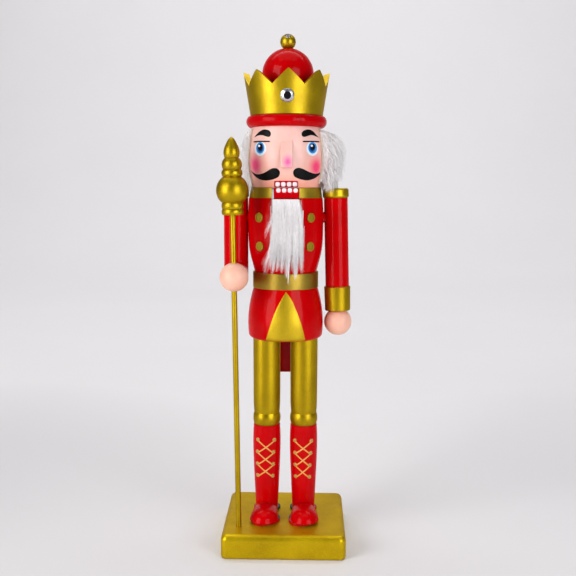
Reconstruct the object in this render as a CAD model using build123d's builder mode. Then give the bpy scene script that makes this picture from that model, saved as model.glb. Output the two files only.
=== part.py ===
from build123d import *
import os
from math import cos, radians, sin

# Wooden nutcracker figure on a block base, in millimetres.
# +Z is up, the figure faces -Y, its left arm is at +X.
# The origin is the centre of the base's underside.

# Base block
base_w = 91.0
base_d = 95.0
base_h = 18.0
base_corner = 5.0
base_top_round = 4.5
base_foot_round = 2.0

# The turned body pieces share one upright axis at x = 0, y = fig_y
fig_y = 5.0
leg_x = 14.15

# Heights of the joints between the stacked pieces
sole_top = base_h + 2.0
boot_top = 87.5
leg_top = 155.5
skirt_top = 193.5
belt_top = 205.5
collar_low = 260.4
torso_top = 268.2
head_top = 312.0
brim_top = 320.0
crown_floor = 333.0
crown_top = 351.7

# Dowels, screws and their bores
glue_gap = 0.05
screw_r = 1.75
screw_head_r = 3.4
screw_len = 38.0
leg_tenon_r = 4.0
hip_tenon_r = 5.0
waist_dowel_r = 6.0
neck_dowel_r = 3.0
neck_dowel_x = 17.5
hat_dowel_r = 5.0
wrist_dowel_r = 3.0

# Shoes
toe_r = 10.75
toe_front = 12.0
toe_back = 34.0
toe_wide_y = -23.0
toe_splay = 3.0
ankle_r = 8.4

# Waist, torso and the slot that the lever lies in
waist_r = 23.0
belt_r = 24.6
neck_r = 25.3
collar_low_r = 27.3
collar_high_r = 26.2
slot_half = 10.05
slot_x = 0.4
slot_floor = 232.5
button_turn = 41.0
button_r = 3.5

# Jaw lever
lever_half = 9.1
lever_x = 1.15
pivot_y = 8.0
pivot_z = 243.0
pin_r = 1.6
pin_half = 17.5
jaw_front = -22.0
jaw_top = torso_top - 0.3
tail_in = 34.0
tail_out = 40.2
tail_end = 121.0

# Beard patch, hung from the front of the jaw
beard_top = 260.5
beard_low = 206.0
beard_half = 10.5
beard_back = -23.7
beard_front = -28.7
beard_pad_back = jaw_front - 0.3

# Head, hat and hair
nose_half = 4.45
nose_x = 1.35
hair_r = 37.0
hat_x = 0.4
dome_r = 19.0
dome_x = 1.35
dome_z = 350.7
dome_flat = 369.5
bead_r = 5.75
bead_z = 374.2
crown_low_r = 26.8
crown_high_r = 31.8
crown_wall = 4.5
crown_teeth = 8
crown_turn = 4.0
tooth_depth = 10.5
tooth_tip = 0.4
gem_r = 5.0

# Arms
arm_r = 8.87
arm_x = 37.73
arm_lean = 1.44
shoulder_z = 246.0
shoulder_dowel_r = 4.0
epaulette_r = 9.72
epaulette_t = 7.3
cuff_low_r = 9.5
cuff_high_r = 9.86
cuff_h = 18.3
hand_r = 10.4
hand_flat = 8.7
arm_up = collar_low - shoulder_z
arm_down = 70.0

# Bent right arm and its staff
bent_x = -37.35
bent_arm_r = 9.15
hand_x = -36.1
hand_y = -29.6
elbow_z = 204.2
wrist_r = 9.4
staff_r = 2.0
staff_x = -33.4
staff_y = -29.6
staff_lean = 0.85
staff_socket = 8.0

figure_axis = Axis((0, fig_y, 0), (0, 0, 1))
sides = (("left", 1), ("right", -1))


def lathe_plane(x, y):
    """Upright plane through a lathe axis: its x is the radius, its y is the height."""
    return Plane(origin=(x, y, 0), x_dir=(1, 0, 0), z_dir=(0, -1, 0))


def lathe_face(plane, *edge_points):
    """Half outline of a turned piece: a smooth edge of (radius, height), closed along the axis."""
    with BuildSketch(plane) as face:
        with BuildLine():
            Spline(*edge_points)
            Polyline(edge_points[-1], (0, edge_points[-1][1]), (0, edge_points[0][1]), edge_points[0])
        make_face()
    return face.sketch


def x_bore(x, y, z):
    """Location whose Z runs along +X from a point."""
    return Plane(origin=(x, y, z), x_dir=(0, 1, 0), z_dir=(1, 0, 0))


from_low = (Align.CENTER, Align.CENTER, Align.MIN)
os.makedirs("parts", exist_ok=True)

# ---- Base block, drilled for the boot screws and the staff's foot ----

staff_up = Vector(-sin(radians(staff_lean)), 0, cos(radians(staff_lean)))
staff_foot = Vector(staff_x, staff_y, base_h)
staff_plane = Plane(origin=staff_foot, x_dir=(cos(radians(staff_lean)), 0, sin(radians(staff_lean))),
                    z_dir=(0, -1, 0))
staff_axis = Axis(staff_foot, staff_up)
staff_section = Plane(origin=staff_foot, z_dir=staff_up)
screw_spots = [(side * leg_x, fig_y, 0) for name, side in sides]

with BuildPart() as base:
    with BuildSketch(Plane.XY):
        RectangleRounded(base_w, base_d, base_corner)
    extrude(amount=base_h)
    fillet(base.edges().group_by(Axis.Z)[-1], base_top_round)
    fillet(base.edges().group_by(Axis.Z)[0], base_foot_round)
    with Locations(*[Plane(origin=spot, z_dir=(0, 0, -1)) for spot in screw_spots]):
        CounterSinkHole(screw_r + glue_gap, screw_head_r + glue_gap, depth=base_h + 1, counter_sink_angle=90)
    with Locations(staff_section.offset(-staff_socket)):
        Cylinder(staff_r + glue_gap, 2 * staff_socket, align=from_low, mode=Mode.SUBTRACT)
base.part.label = "base"
export_step(base.part, "parts/base.step")

# Countersunk wood screws that hold the boots down, one under each
screw_head_t = screw_head_r - screw_r
with BuildPart() as base_screws:
    with Locations(*screw_spots):
        Cone(screw_head_r, screw_r, screw_head_t, align=from_low)
        with Locations((0, 0, screw_head_t)):
            Cylinder(screw_r, screw_len - 2 * screw_head_t, align=from_low)
        with Locations((0, 0, screw_len - screw_head_t)):
            Cone(screw_r, 0.2, screw_head_t, align=from_low)
base_screws.part.label = "base_screws"
export_step(base_screws.part, "parts/base_screws.step")

# ---- Feet and legs ----

for name, side in sides:
    foot = Plane(origin=(side * leg_x, fig_y, base_h))
    splay = radians(toe_splay) * side
    toe_dir = Vector(sin(splay), -cos(splay), 0)
    toe_centre = Vector(side * leg_x, fig_y, base_h) - toe_dir * toe_wide_y
    leg_axis = Axis((side * leg_x, fig_y, 0), (0, 0, 1))
    leg_plane = lathe_plane(side * leg_x, fig_y)

    # Flat sole: round at toe and heel, narrow at the waist
    with BuildPart() as boot_sole:
        with BuildSketch(foot):
            with BuildLine():
                Spline((0, -32.5), (10.7, -18.5), (8.2, -3.0), (10.3, 6.5), (0, 13.0), (-10.3, 6.5),
                       (-8.2, -3.0), (-10.7, -18.5), periodic=True)
            make_face()
            Circle(screw_r + glue_gap, mode=Mode.SUBTRACT)
        extrude(amount=sole_top - base_h)
        fillet(boot_sole.edges().group_by(Axis.Z)[-1].sort_by(SortBy.LENGTH)[-1], 0.4)
    boot_sole.part.label = f"boot_sole_{name}"
    export_step(boot_sole.part, f"parts/boot_sole_{name}.step")

    # Shoe: half an egg, blunt in front and long behind, bored for the boot's shaft
    with BuildPart() as boot_toe:
        with BuildSketch(Plane(origin=toe_centre, x_dir=toe_dir, z_dir=(0, 0, 1))):
            with BuildLine():
                EllipticalCenterArc((0, 0), toe_front, toe_r, start_angle=0, arc_size=90)
                EllipticalCenterArc((0, 0), toe_back, toe_r, start_angle=90, arc_size=90)
                Line((-toe_back, 0), (toe_front, 0))
            make_face()
        revolve(axis=Axis(toe_centre, toe_dir))
        split(bisect_by=Plane.XY.offset(sole_top), keep=Keep.TOP)
        with Locations((side * leg_x, fig_y, base_h)):
            Cylinder(ankle_r + 0.6, 4 * toe_r, align=from_low, mode=Mode.SUBTRACT)
        heel_cut = Plane(origin=(side * leg_x, fig_y, 0), x_dir=(1, 0, 0), z_dir=(0, 1, 0))
        split(bisect_by=heel_cut, keep=Keep.BOTTOM)
    boot_toe.part.label = f"boot_toe_{name}"
    export_step(boot_toe.part, f"parts/boot_toe_{name}.step")

    with BuildPart() as boot:
        revolve(lathe_face(leg_plane, (ankle_r, sole_top), (9.0, 31.0), (10.0, 53.5), (10.6, 74.5),
                           (10.1, boot_top)), axis=leg_axis)
        with Locations((side * leg_x, fig_y, sole_top)):
            Cylinder(screw_r + glue_gap, screw_len - sole_top + 1, align=from_low, mode=Mode.SUBTRACT)
        with Locations((side * leg_x, fig_y, boot_top - 12)):
            Cylinder(leg_tenon_r + glue_gap, 12, align=from_low, mode=Mode.SUBTRACT)
    boot.part.label = f"boot_{name}"
    export_step(boot.part, f"parts/boot_{name}.step")

    # Trouser leg: a rounded knee band, a groove, a long shank, and a tenon at each end
    with BuildPart() as trouser_leg:
        with BuildSketch(leg_plane):
            with BuildLine():
                ThreePointArc((9.5, boot_top), (10.5, 92.2), (9.7, 96.9))
                Spline((9.7, 96.9), (9.95, 99.4), (10.2, 105.0), (10.3, 112.0))
                Polyline((10.3, 112.0), (10.4, leg_top), (hip_tenon_r, leg_top), (hip_tenon_r, leg_top + 12),
                         (0, leg_top + 12), (0, boot_top - 11.5), (leg_tenon_r, boot_top - 11.5),
                         (leg_tenon_r, boot_top), (9.5, boot_top))
            make_face()
        revolve(axis=leg_axis)
    trouser_leg.part.label = f"trouser_leg_{name}"
    export_step(trouser_leg.part, f"parts/trouser_leg_{name}.step")

# ---- Skirt of the coat, with the waist that carries the belt ----

body_plane = lathe_plane(0, fig_y)
with BuildPart() as skirt:
    with BuildSketch(body_plane):
        with BuildLine():
            ThreePointArc((24.6, leg_top), (26.9, 156.3), (27.9, 158.4))
            Spline((27.9, 158.4), (28.3, 163.0), (27.9, 175.5), (26.4, 184.8), (24.2, skirt_top))
            Polyline((24.2, skirt_top), (waist_r, skirt_top), (waist_r, belt_top), (0, belt_top),
                     (0, leg_top), (24.6, leg_top))
        make_face()
    revolve(axis=figure_axis)
    with Locations(*[(side * leg_x, fig_y, leg_top) for name, side in sides]):
        Cylinder(hip_tenon_r + glue_gap, 12.5, align=from_low, mode=Mode.SUBTRACT)
    with Locations((0, fig_y, belt_top - 15)):
        Cylinder(waist_dowel_r + glue_gap, 15, align=from_low, mode=Mode.SUBTRACT)
skirt.part.label = "skirt"
export_step(skirt.part, "parts/skirt.step")

with BuildPart() as belt:
    with BuildSketch(Plane.XY.offset(skirt_top)):
        with Locations((0, fig_y)):
            Circle(belt_r)
            Circle(waist_r, mode=Mode.SUBTRACT)
    extrude(amount=belt_top - skirt_top)
    outer_rims = belt.edges().filter_by(GeomType.CIRCLE).sort_by(SortBy.RADIUS)[-2:]
    fillet(outer_rims, 0.5)
belt.part.label = "belt"
export_step(belt.part, "parts/belt.step")

with BuildPart() as waist_dowel:
    with Locations((0, fig_y, belt_top - 14.5)):
        Cylinder(waist_dowel_r, 25, align=from_low)
waist_dowel.part.label = "waist_dowel"
export_step(waist_dowel.part, "parts/waist_dowel.step")

# ---- Torso: a turned barrel, slotted from front to back for the lever ----

button_heights = ((246.5, 28.2), (225.5, 27.55))
button_seats = [
    Plane(origin=((r - 0.25) * sin(side * radians(button_turn)),
                  fig_y - (r - 0.25) * cos(radians(button_turn)), z),
          z_dir=(sin(side * radians(button_turn)), -cos(radians(button_turn)), 0))
    for name, side in sides for z, r in button_heights
]

with BuildPart() as torso:
    with BuildSketch(body_plane):
        with BuildLine():
            Spline((23.3, belt_top), (25.1, 212.4), (27.15, 221.4), (28.0, 231.5), (28.2, 240.0),
                   (28.15, 249.4), (27.6, collar_low))
            Polyline((27.6, collar_low), (neck_r, collar_low), (neck_r, torso_top), (0, torso_top),
                     (0, belt_top), (23.3, belt_top))
        make_face()
    revolve(axis=figure_axis)
    with Locations((slot_x, fig_y, slot_floor)):
        Box(2 * slot_half, 80, 60, align=from_low, mode=Mode.SUBTRACT)
    with Locations((0, fig_y, belt_top)):
        Cylinder(waist_dowel_r + glue_gap, 11, align=from_low, mode=Mode.SUBTRACT)
    with Locations(*[(side * neck_dowel_x, fig_y, torso_top - 12) for name, side in sides]):
        Cylinder(neck_dowel_r + glue_gap, 12, align=from_low, mode=Mode.SUBTRACT)
    with Locations(x_bore(18, fig_y, shoulder_z), x_bore(-38, fig_y, shoulder_z)):
        Cylinder(shoulder_dowel_r + glue_gap, 20, align=from_low, mode=Mode.SUBTRACT)
    with Locations(x_bore(-40, pivot_y, pivot_z)):
        Cylinder(pin_r + glue_gap, 40 + pin_half, align=from_low, mode=Mode.SUBTRACT)
    with Locations(*button_seats):
        Cylinder(button_r + glue_gap, 3, align=from_low, mode=Mode.SUBTRACT)
        Cylinder(1 + glue_gap, 9, mode=Mode.SUBTRACT)
torso.part.label = "torso"
export_step(torso.part, "parts/torso.step")

# Gold collar, narrower at its top and parted by the slot
for name, side in sides:
    with BuildPart() as collar_band:
        with BuildSketch(body_plane):
            with BuildLine():
                Polyline((neck_r, collar_low), (collar_low_r - 0.3, collar_low),
                         (collar_low_r, collar_low + 0.4), (collar_high_r, torso_top - 0.5),
                         (collar_high_r - 0.4, torso_top), (neck_r, torso_top), (neck_r, collar_low))
            make_face()
        revolve(axis=figure_axis)
        with Locations((slot_x - side * (60 - slot_half), fig_y, collar_low)):
            Box(120, 120, 2 * (torso_top - collar_low), mode=Mode.SUBTRACT)
    collar_band.part.label = f"collar_{name}"
    export_step(collar_band.part, f"parts/collar_{name}.step")

# Coat studs: a dished head on a short pin
with BuildPart() as coat_buttons:
    with Locations(*button_seats):
        Cylinder(button_r, 1.5, align=from_low)
        Cylinder(1, 4, align=(Align.CENTER, Align.CENTER, Align.MAX))
    head_rims = coat_buttons.edges().filter_by(GeomType.CIRCLE).filter_by(lambda e: e.radius > 2)
    fillet(head_rims.filter_by(lambda e: (e.center() - Vector(0, fig_y, e.center().Z)).length > 28.0), 0.5)
    with Locations(*[seat.offset(1.15) for seat in button_seats]):
        Cylinder(2.2, 1, align=from_low, mode=Mode.SUBTRACT)
coat_buttons.part.label = "coat_buttons"
export_step(coat_buttons.part, "parts/coat_buttons.step")

# ---- Jaw lever, its pin and the beard ----

with BuildPart() as jaw_lever:
    with BuildSketch(Plane.YZ.offset(lever_x)):
        with BuildLine():
            FilletPolyline((jaw_front, jaw_top), (pivot_y, jaw_top), (31.5, 256.0), (tail_out, 246.0),
                           (tail_out, tail_end), (tail_in, tail_end), (tail_in, 235.5), (5.0, 235.5),
                           (jaw_front, 247.5), radius=[0.8, 6.0, 6.0, 6.0, 2.8, 2.8, 2.0, 4.0, 2.0],
                           close=True)
        make_face()
    extrude(amount=lever_half, both=True)
    with Locations((0, pivot_y, pivot_z)):
        Cylinder(pin_r + glue_gap, 4 * lever_half, rotation=(0, 90, 0), mode=Mode.SUBTRACT)
jaw_lever.part.label = "jaw_lever"
export_step(jaw_lever.part, "parts/jaw_lever.step")

with BuildPart() as lever_pin:
    with Locations((0, pivot_y, pivot_z)):
        Cylinder(pin_r, 2 * pin_half, rotation=(0, 90, 0))
lever_pin.part.label = "lever_pin"
export_step(lever_pin.part, "parts/lever_pin.step")

with BuildPart() as beard:
    with BuildSketch(Plane.XY.offset(beard_low)):
        with Locations((lever_x, (beard_front + beard_back) / 2)):
            RectangleRounded(2 * beard_half, beard_back - beard_front, 1.5)
    extrude(amount=beard_top - beard_low)
    with Locations((lever_x, beard_back - 1, 240.0)):
        Box(2 * lever_half, beard_pad_back - beard_back + 1, beard_top - 240.0,
            align=(Align.CENTER, Align.MIN, Align.MIN))
beard.part.label = "beard"
export_step(beard.part, "parts/beard.step")

# ---- Head ----

with BuildPart() as neck_dowels:
    with Locations(*[(side * neck_dowel_x, fig_y, torso_top - 11.5) for name, side in sides]):
        Cylinder(neck_dowel_r, 23, align=from_low)
neck_dowels.part.label = "neck_dowels"
export_step(neck_dowels.part, "parts/neck_dowels.step")

head_face = lathe_face(body_plane, (25.3, torso_top), (27.2, 276.0), (28.65, 285.0), (28.65, 292.5),
                       (27.7, 302.0), (25.5, head_top))
with BuildPart() as head:
    revolve(head_face, axis=figure_axis)
    with Locations(*[(side * neck_dowel_x, fig_y, torso_top) for name, side in sides]):
        Cylinder(neck_dowel_r + glue_gap, 12, align=from_low, mode=Mode.SUBTRACT)
    with Locations((hat_x, fig_y, head_top - 12)):
        Cylinder(hat_dowel_r + glue_gap, 12, align=from_low, mode=Mode.SUBTRACT)
head.part.label = "head"
export_step(head.part, "parts/head.step")

# Wedge nose, glued to the curve of the face
with BuildPart() as nose:
    with BuildSketch(Plane.YZ.offset(nose_x)):
        with BuildLine():
            FilletPolyline((-22.3, 302.2), (-29.6, 284.6), (-29.0, 282.1), (-18.0, 282.1), (-18.0, 302.2),
                           radius=[0.3, 1.0, 0.8, 0.3, 0.3], close=True)
        make_face()
    extrude(amount=nose_half, both=True)
    front_edges = nose.edges().filter_by(lambda e: e.center().Y < -23)
    fillet(front_edges.filter_by(lambda e: abs(abs(e.center().X - nose_x) - nose_half) < 0.01), 1.0)
    revolve(head_face, axis=figure_axis, mode=Mode.SUBTRACT)
nose.part.label = "nose"
export_step(nose.part, "parts/nose.step")

# Hair: a band of fur round the back and sides of the head, from ear to ear
hair_low = 271.5
hair_front_y = -7.0
with BuildPart() as hair:
    with BuildSketch(Plane.XY.offset(hair_low)):
        with Locations((0, fig_y)):
            Circle(hair_r)
        with Locations((0, hair_front_y - 50)):
            Rectangle(120, 100, mode=Mode.SUBTRACT)
    extrude(amount=head_top - 0.3 - hair_low)
    fillet(hair.edges().filter_by(GeomType.CIRCLE), 3.0)
    revolve(head_face, axis=figure_axis, mode=Mode.SUBTRACT)
hair.part.label = "hair"
export_step(hair.part, "parts/hair.step")

# ---- Hat: brim roll, crown cup, dome and bead, on one dowel ----

with BuildPart() as hat_dowel:
    with Locations((hat_x, fig_y, head_top - 11.5)):
        Cylinder(hat_dowel_r, brim_top - head_top + 22.8, align=from_low)
hat_dowel.part.label = "hat_dowel"
export_step(hat_dowel.part, "parts/hat_dowel.step")

hat_plane = lathe_plane(hat_x, fig_y)
hat_axis = Axis((hat_x, fig_y, 0), (0, 0, 1))
with BuildPart() as hat_brim:
    with BuildSketch(hat_plane):
        with BuildLine():
            ThreePointArc((27.3, head_top), (29.8, 316.5), (28.2, brim_top))
            Polyline((28.2, brim_top), (hat_dowel_r + glue_gap, brim_top),
                     (hat_dowel_r + glue_gap, head_top), (27.3, head_top))
        make_face()
    revolve(axis=hat_axis)
hat_brim.part.label = "hat_brim"
export_step(hat_brim.part, "parts/hat_brim.step")

# Crown: a flared cup whose rim is cut into pointed teeth
crown_flare = (crown_high_r - crown_low_r) / (crown_top - brim_top)
floor_r = crown_low_r + crown_flare * (crown_floor - brim_top)
notch_half = crown_high_r * sin(radians(180 / crown_teeth)) - tooth_tip
gem_z = 333.1
gem_lean = radians(9.0)
gem_turn = radians(2.6)
gem_reach = crown_low_r + crown_flare * (gem_z - brim_top) - 0.5
gem_out = Vector(sin(gem_turn) * cos(gem_lean), -cos(gem_turn) * cos(gem_lean), -sin(gem_lean))
gem_seat = Plane(origin=(hat_x + gem_reach * sin(gem_turn), fig_y - gem_reach * cos(gem_turn), gem_z),
                 x_dir=(cos(gem_turn), sin(gem_turn), 0), z_dir=gem_out)

with BuildPart() as crown:
    with BuildSketch(hat_plane):
        with BuildLine():
            Polyline((0, brim_top), (crown_low_r - 0.6, brim_top), (crown_low_r, brim_top + 0.8),
                     (crown_high_r, crown_top), (crown_high_r - crown_wall, crown_top),
                     (floor_r - crown_wall, crown_floor), (0, crown_floor), (0, brim_top))
        make_face()
    revolve(axis=hat_axis)
    for notch in range(crown_teeth):
        turn = radians(360 / crown_teeth * (notch + 0.5) + crown_turn)
        outward = Vector(sin(turn), -cos(turn), 0)
        notch_plane = Plane(origin=(hat_x, fig_y, crown_top), x_dir=(cos(turn), sin(turn), 0), z_dir=outward)
        with BuildSketch(notch_plane):
            Polygon((0, -tooth_depth), (notch_half, 0), (notch_half, 1), (-notch_half, 1), (-notch_half, 0),
                    align=None)
        extrude(amount=45, mode=Mode.SUBTRACT)
    with Locations((hat_x, fig_y, brim_top)):
        Cylinder(hat_dowel_r + glue_gap, 11.5, align=from_low, mode=Mode.SUBTRACT)
    with Locations(gem_seat):
        Cylinder(gem_r + glue_gap, 3, align=from_low, mode=Mode.SUBTRACT)
crown.part.label = "crown"
export_step(crown.part, "parts/crown.step")

with BuildPart() as crown_gem:
    with Locations(gem_seat):
        Cylinder(gem_r, 0.9, align=from_low)
    with Locations(gem_seat.offset(0.9)):
        Cone(gem_r, 2.9, 1.3, align=from_low)
crown_gem.part.label = "crown_gem"
export_step(crown_gem.part, "parts/crown_gem.step")

with BuildPart() as crown_dome:
    with Locations((dome_x, fig_y, dome_z)):
        Sphere(dome_r)
    split(bisect_by=Plane.XY.offset(crown_floor), keep=Keep.TOP)
    split(bisect_by=Plane.XY.offset(dome_flat), keep=Keep.BOTTOM)
    with Locations((dome_x, fig_y, dome_flat - 6)):
        Cylinder(1.5 + glue_gap, 6, align=from_low, mode=Mode.SUBTRACT)
crown_dome.part.label = "crown_dome"
export_step(crown_dome.part, "parts/crown_dome.step")

bead_gem_lean = radians(42)
bead_gem_seat = Plane(origin=(dome_x, fig_y - 4.9 * sin(bead_gem_lean), bead_z + 4.9 * cos(bead_gem_lean)),
                      x_dir=(1, 0, 0), z_dir=(0, -sin(bead_gem_lean), cos(bead_gem_lean)))
with BuildPart() as dome_bead:
    with Locations((dome_x, fig_y, bead_z)):
        Sphere(bead_r)
    split(bisect_by=Plane.XY.offset(dome_flat), keep=Keep.TOP)
    with Locations((dome_x, fig_y, dome_flat - 5.5)):
        Cylinder(1.5, 6.5, align=from_low)
    with Locations(bead_gem_seat):
        Cylinder(2.35, 3, align=from_low, mode=Mode.SUBTRACT)
dome_bead.part.label = "dome_bead"
export_step(dome_bead.part, "parts/dome_bead.step")

with BuildPart() as bead_gem:
    with Locations(bead_gem_seat):
        Cylinder(2.3, 0.5, align=from_low)
    with Locations(bead_gem_seat.offset(0.5)):
        Cone(2.3, 1.4, 0.7, align=from_low)
bead_gem.part.label = "bead_gem"
export_step(bead_gem.part, "parts/bead_gem.step")

# ---- Arms ----

# The straight left arm leans out by a small angle; the bent right arm's upper half is upright
left_up = Vector(-sin(radians(arm_lean)), 0, cos(radians(arm_lean)))
left_shoulder = Vector(arm_x, fig_y, shoulder_z)
left_plane = Plane(origin=left_shoulder, x_dir=(cos(radians(arm_lean)), 0, sin(radians(arm_lean))),
                   z_dir=(0, -1, 0))
left_axis = Axis(left_shoulder, left_up)
left_section = Plane(origin=left_shoulder, x_dir=(0, 1, 0), z_dir=left_up)
right_section = Plane(origin=(bent_x, fig_y, shoulder_z), x_dir=(0, 1, 0), z_dir=(0, 0, 1))

elbow = Vector(bent_x, fig_y, elbow_z)
hand_centre = Vector(hand_x, hand_y, elbow_z)
forearm_dir = (hand_centre - elbow).normalized()
forearm_len = (hand_centre - elbow).length - hand_flat
forearm_section = Plane(origin=elbow, x_dir=(0, 0, 1), z_dir=forearm_dir)
mitre = Plane(origin=elbow, x_dir=(1, 0, 0), z_dir=(0, 1, 1))

for name, side in sides:
    with BuildPart() as shoulder_dowel:
        with Locations(x_bore(18.3 if side > 0 else -36.5, fig_y, shoulder_z)):
            Cylinder(shoulder_dowel_r, 18.2, align=from_low)
    shoulder_dowel.part.label = f"shoulder_dowel_{name}"
    export_step(shoulder_dowel.part, f"parts/shoulder_dowel_{name}.step")

    # Epaulette: a rounded disc with a peg into the top of the sleeve
    section = left_section if side > 0 else right_section
    with BuildPart() as epaulette:
        with BuildSketch(section.offset(arm_up)):
            Circle(epaulette_r)
        extrude(amount=epaulette_t)
        fillet(epaulette.edges().filter_by(GeomType.CIRCLE), 1.8)
        with Locations(section.offset(arm_up - 6)):
            Cylinder(2.5, 7, align=from_low)
    epaulette.part.label = f"epaulette_{name}"
    export_step(epaulette.part, f"parts/epaulette_{name}.step")

with BuildPart() as sleeve_left:
    with BuildSketch(left_section.offset(-arm_down)):
        Circle(arm_r)
    extrude(amount=arm_down + arm_up)
    with Locations(left_section.offset(arm_up - 6.5)):
        Cylinder(2.5 + glue_gap, 7, align=from_low, mode=Mode.SUBTRACT)
    with Locations(left_section.offset(-arm_down)):
        Cylinder(wrist_dowel_r + glue_gap, 12, align=from_low, mode=Mode.SUBTRACT)
    with Locations(x_bore(arm_x - 20, fig_y, shoulder_z)):
        Cylinder(shoulder_dowel_r + glue_gap, 20, align=from_low, mode=Mode.SUBTRACT)
sleeve_left.part.label = "sleeve_left"
export_step(sleeve_left.part, "parts/sleeve_left.step")

with BuildPart() as cuff_left:
    with BuildSketch(left_plane):
        with BuildLine():
            Polyline((arm_r, -arm_down), (cuff_low_r - 0.3, -arm_down), (cuff_low_r, 0.4 - arm_down),
                     (cuff_high_r, cuff_h - 0.5 - arm_down), (cuff_high_r - 0.4, cuff_h - arm_down),
                     (arm_r, cuff_h - arm_down), (arm_r, -arm_down))
        make_face()
    revolve(axis=left_axis)
cuff_left.part.label = "cuff_left"
export_step(cuff_left.part, "parts/cuff_left.step")

with BuildPart() as wrist_dowel_left:
    with Locations(left_section.offset(-arm_down - 9)):
        Cylinder(wrist_dowel_r, 20.5, align=from_low)
wrist_dowel_left.part.label = "wrist_dowel_left"
export_step(wrist_dowel_left.part, "parts/wrist_dowel_left.step")

with BuildPart() as hand_left:
    with Locations(left_section.offset(-arm_down - hand_flat)):
        Sphere(hand_r)
    split(bisect_by=left_section.offset(-arm_down), keep=Keep.BOTTOM)
    with Locations(left_section.offset(-arm_down - 9.5)):
        Cylinder(wrist_dowel_r + glue_gap, 10, align=from_low, mode=Mode.SUBTRACT)
hand_left.part.label = "hand_left"
export_step(hand_left.part, "parts/hand_left.step")

with BuildPart() as upper_arm_right:
    with BuildSketch(Plane.XY.offset(elbow_z - 20)):
        with Locations((bent_x, fig_y)):
            Circle(bent_arm_r)
    extrude(amount=collar_low - elbow_z + 20)
    split(bisect_by=mitre, keep=Keep.TOP)
    with Locations(right_section.offset(arm_up - 6.5)):
        Cylinder(2.5 + glue_gap, 7, align=from_low, mode=Mode.SUBTRACT)
    with Locations(x_bore(-36.8, fig_y, shoulder_z)):
        Cylinder(shoulder_dowel_r + glue_gap, 20, align=from_low, mode=Mode.SUBTRACT)
    with Locations(mitre.offset(-1)):
        Cylinder(2.5 + glue_gap, 7.3, align=from_low, mode=Mode.SUBTRACT)
upper_arm_right.part.label = "upper_arm_right"
export_step(upper_arm_right.part, "parts/upper_arm_right.step")

with BuildPart() as forearm_right:
    with Locations(forearm_section.offset(-12)):
        Cylinder(bent_arm_r, 12, align=from_low)
    with Locations(forearm_section):
        Cone(bent_arm_r, wrist_r, forearm_len, align=from_low)
    split(bisect_by=mitre, keep=Keep.BOTTOM)
    with Locations(mitre.offset(-6.3)):
        Cylinder(2.5 + glue_gap, 7.3, align=from_low, mode=Mode.SUBTRACT)
    with Locations(forearm_section.offset(forearm_len - 10)):
        Cylinder(wrist_dowel_r + glue_gap, 11, align=from_low, mode=Mode.SUBTRACT)
forearm_right.part.label = "forearm_right"
export_step(forearm_right.part, "parts/forearm_right.step")

with BuildPart() as elbow_dowel:
    with Locations(mitre):
        Cylinder(2.5, 12)
elbow_dowel.part.label = "elbow_dowel"
export_step(elbow_dowel.part, "parts/elbow_dowel.step")

with BuildPart() as wrist_dowel_right:
    with Locations(forearm_section.offset(forearm_len - 9.5)):
        Cylinder(wrist_dowel_r, 13.5, align=from_low)
wrist_dowel_right.part.label = "wrist_dowel_right"
export_step(wrist_dowel_right.part, "parts/wrist_dowel_right.step")

# Hand ball, drilled through for the staff
with BuildPart() as hand_right:
    with Locations(hand_centre):
        Sphere(hand_r)
    split(bisect_by=forearm_section.offset(forearm_len), keep=Keep.TOP)
    with Locations(forearm_section.offset(forearm_len - 1)):
        Cylinder(wrist_dowel_r + glue_gap, 5.2, align=from_low, mode=Mode.SUBTRACT)
    with Locations(staff_section.offset(160)):
        Cylinder(staff_r + glue_gap, 50, align=from_low, mode=Mode.SUBTRACT)
hand_right.part.label = "hand_right"
export_step(hand_right.part, "parts/hand_right.step")

# ---- Staff: a rod from the base, through the hand, into a turned finial ----

finial_low = 230.8
rod_top = finial_low + 13.5
with BuildPart() as staff_rod:
    with Locations(staff_section.offset(-staff_socket + 0.2)):
        Cylinder(staff_r, rod_top + staff_socket - 0.2, align=from_low)
staff_rod.part.label = "staff_rod"
export_step(staff_rod.part, "parts/staff_rod.step")

# Finial outline: two rings, a ball, two beads and a pointed drop; heights from its lower end
ring_r = 7.87
ball_r = 11.5
with BuildPart() as staff_finial:
    with BuildSketch(staff_plane):
        with BuildLine():
            ThreePointArc((7.1, finial_low), (ring_r, finial_low + 2.1), (7.3, finial_low + 4.3))
            ThreePointArc((7.3, finial_low + 4.3), (ring_r, finial_low + 6.4), (7.4, finial_low + 8.7))
            Spline((7.4, finial_low + 8.7), (10.4, finial_low + 12.3), (ball_r, finial_low + 17.5),
                   (10.0, finial_low + 23.2), (6.5, finial_low + 27.0))
            Spline((6.5, finial_low + 27.0), (7.25, finial_low + 28.2), (7.46, finial_low + 29.6),
                   (7.15, finial_low + 31.1), (6.3, finial_low + 32.3))
            Spline((6.3, finial_low + 32.3), (7.05, finial_low + 34.2), (7.15, finial_low + 36.2),
                   (6.4, finial_low + 38.5), (4.9, finial_low + 40.3))
            Spline((4.9, finial_low + 40.3), (5.75, finial_low + 44.3), (3.5, finial_low + 50.9),
                   (1.3, finial_low + 54.2), (0, finial_low + 55.0))
            Polyline((0, finial_low + 55.0), (0, finial_low), (7.1, finial_low))
        make_face()
    revolve(axis=staff_axis)
    with Locations(staff_section.offset(finial_low - 1)):
        Cylinder(staff_r + glue_gap, 15, align=from_low, mode=Mode.SUBTRACT)
staff_finial.part.label = "staff_finial"
export_step(staff_finial.part, "parts/staff_finial.step")
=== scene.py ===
import math
import random

import bmesh
import bpy
from mathutils import Matrix, Vector
from mathutils.bvhtree import BVHTree


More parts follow.
